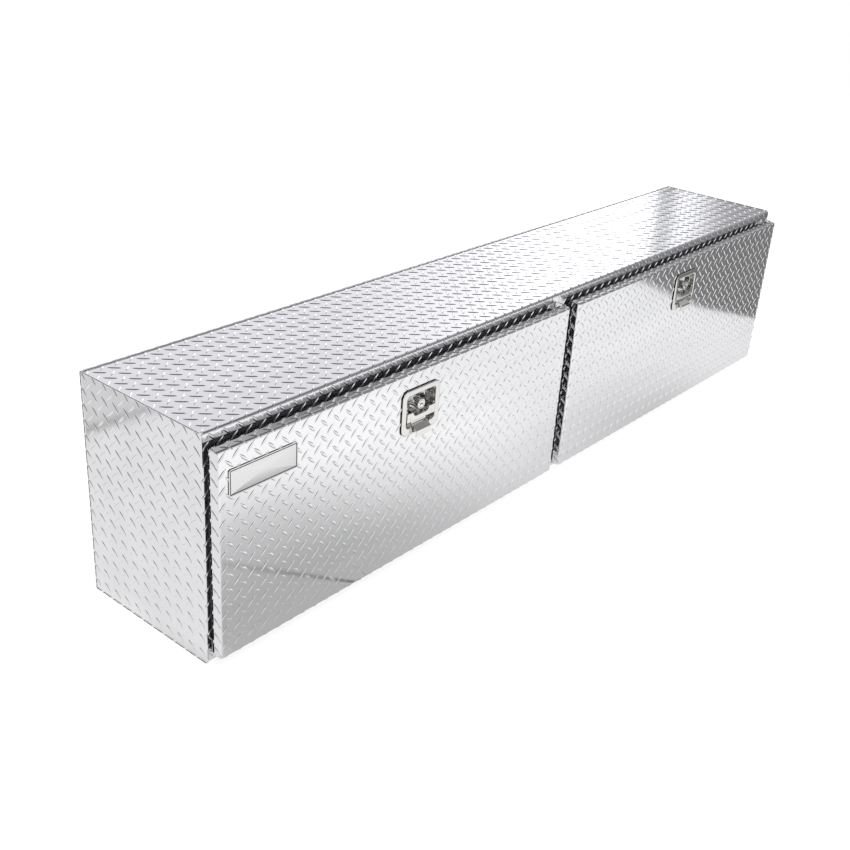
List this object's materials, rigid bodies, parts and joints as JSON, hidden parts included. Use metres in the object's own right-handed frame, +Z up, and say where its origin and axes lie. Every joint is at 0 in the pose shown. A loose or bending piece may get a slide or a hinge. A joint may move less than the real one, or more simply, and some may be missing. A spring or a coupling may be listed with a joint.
{
  "type": "truck tool box",
  "caption": "Long side-mount tool box of tread plate with side-by-side drop-down doors on piano hinges, each with a recessed paddle latch and key lock.",
  "frame": {"origin": "middle of the overall length and depth, on the face that the box stands on", "axes": "+X along the length, -Y the door side, +Z up"},
  "size_m": [1.8288, 0.328, 0.4064],
  "materials": {
    "tread_plate": "bright polished tread plate",
    "smooth_aluminium": "mill finish",
    "stainless_sheet": "satin",
    "polished_stainless": "polished",
    "zinc_steel": "bright zinc plated",
    "spring_steel": "oiled",
    "rivet_aluminium": "as formed",
    "lock_chrome": "polished",
    "seal_rubber": "matt",
    "nameplate_metal": "satin with a dark border"
  },
  "bodies": {
    "root": {"top_panel": "tread_plate", "bottom_panel": "tread_plate", "back_panel": "tread_plate", "left_end_panel": "tread_plate", "right_end_panel": "tread_plate", "centre_post": "tread_plate", "left_door_seal": "seal_rubber", "left_strike": "zinc_steel", "left_frame_anchors": "zinc_steel", "left_hinge_sill_leaf": "stainless_sheet", "left_hinge_pin": "stainless_sheet", "left_hinge_sill_rivets": "rivet_aluminium", "right_door_seal": "seal_rubber", "right_strike": "zinc_steel", "right_frame_anchors": "zinc_steel", "right_hinge_sill_leaf": "stainless_sheet", "right_hinge_pin": "stainless_sheet", "right_hinge_sill_rivets": "rivet_aluminium"},
    "left_door": {"left_door_skin": "tread_plate", "left_door_liner": "smooth_aluminium", "left_door_anchors": "zinc_steel", "left_hinge_door_leaf": "stainless_sheet", "left_hinge_door_rivets": "rivet_aluminium", "left_latch_dish": "polished_stainless", "left_latch_gasket": "seal_rubber", "left_latch_nuts": "zinc_steel", "left_paddle_pin": "zinc_steel", "left_paddle_spring": "spring_steel", "left_lock_housing": "lock_chrome", "left_lock_nut": "zinc_steel", "left_bolt_guide": "zinc_steel", "left_bolt_spring": "spring_steel", "nameplate": "nameplate_metal"},
    "left_handle": {"left_paddle": "polished_stainless"},
    "left_slider": {"left_bolt": "zinc_steel"},
    "left_lock": {"left_lock_plug": "lock_chrome", "left_lock_cam": "zinc_steel"},
    "right_door": {"right_door_skin": "tread_plate", "right_door_liner": "smooth_aluminium", "right_door_anchors": "zinc_steel", "right_hinge_door_leaf": "stainless_sheet", "right_hinge_door_rivets": "rivet_aluminium", "right_latch_dish": "polished_stainless", "right_latch_gasket": "seal_rubber", "right_latch_nuts": "zinc_steel", "right_paddle_pin": "zinc_steel", "right_paddle_spring": "spring_steel", "right_lock_housing": "lock_chrome", "right_lock_nut": "zinc_steel", "right_bolt_guide": "zinc_steel", "right_bolt_spring": "spring_steel"},
    "right_handle": {"right_paddle": "polished_stainless"},
    "right_slider": {"right_bolt": "zinc_steel"},
    "right_lock": {"right_lock_plug": "lock_chrome", "right_lock_cam": "zinc_steel"}
  },
  "joints": [
    {"name": "left_door_hinge", "type": "hinge", "parent": "root", "child": "left_door", "pos_m": [-0.46132, -0.13, 0.0175], "axis": [1, 0, 0], "range_deg": [0, 90]},
    {"name": "left_paddle_pull", "type": "hinge", "parent": "left_door", "child": "left_handle", "pos_m": [-0.46132, -0.1455, 0.2999], "axis": [-1, 0, 0], "range_deg": [0, 30], "stiffness_Nm_per_rad": 0.3, "springref_deg": -8.59},
    {"name": "left_bolt_slide", "type": "slide", "parent": "left_door", "child": "left_slider", "axis": [0, 0, -1], "range_m": [0, 0.012], "deforming": ["left_bolt_spring"]},
    {"name": "left_lock_turn", "type": "hinge", "parent": "left_door", "child": "left_lock", "pos_m": [-0.46132, -0.1335, 0.3186], "axis": [0, 1, 0], "range_deg": [-90, 0]},
    {"name": "right_door_hinge", "type": "hinge", "parent": "root", "child": "right_door", "pos_m": [0.46132, -0.13, 0.0175], "axis": [1, 0, 0], "range_deg": [0, 90]},
    {"name": "right_paddle_pull", "type": "hinge", "parent": "right_door", "child": "right_handle", "pos_m": [0.46132, -0.1455, 0.2999], "axis": [-1, 0, 0], "range_deg": [0, 30], "stiffness_Nm_per_rad": 0.3, "springref_deg": -8.59},
    {"name": "right_bolt_slide", "type": "slide", "parent": "right_door", "child": "right_slider", "axis": [0, 0, -1], "range_m": [0, 0.012], "deforming": ["right_bolt_spring"]},
    {"name": "right_lock_turn", "type": "hinge", "parent": "right_door", "child": "right_lock", "pos_m": [0.46132, -0.1335, 0.3186], "axis": [0, 1, 0], "range_deg": [-90, 0]}
  ],
  "couplings": [
    {"joint": "left_bolt_slide", "follows": "left_paddle_pull", "m_per_rad": 0.0229},
    {"joint": "right_bolt_slide", "follows": "right_paddle_pull", "m_per_rad": 0.0229}
  ]
}
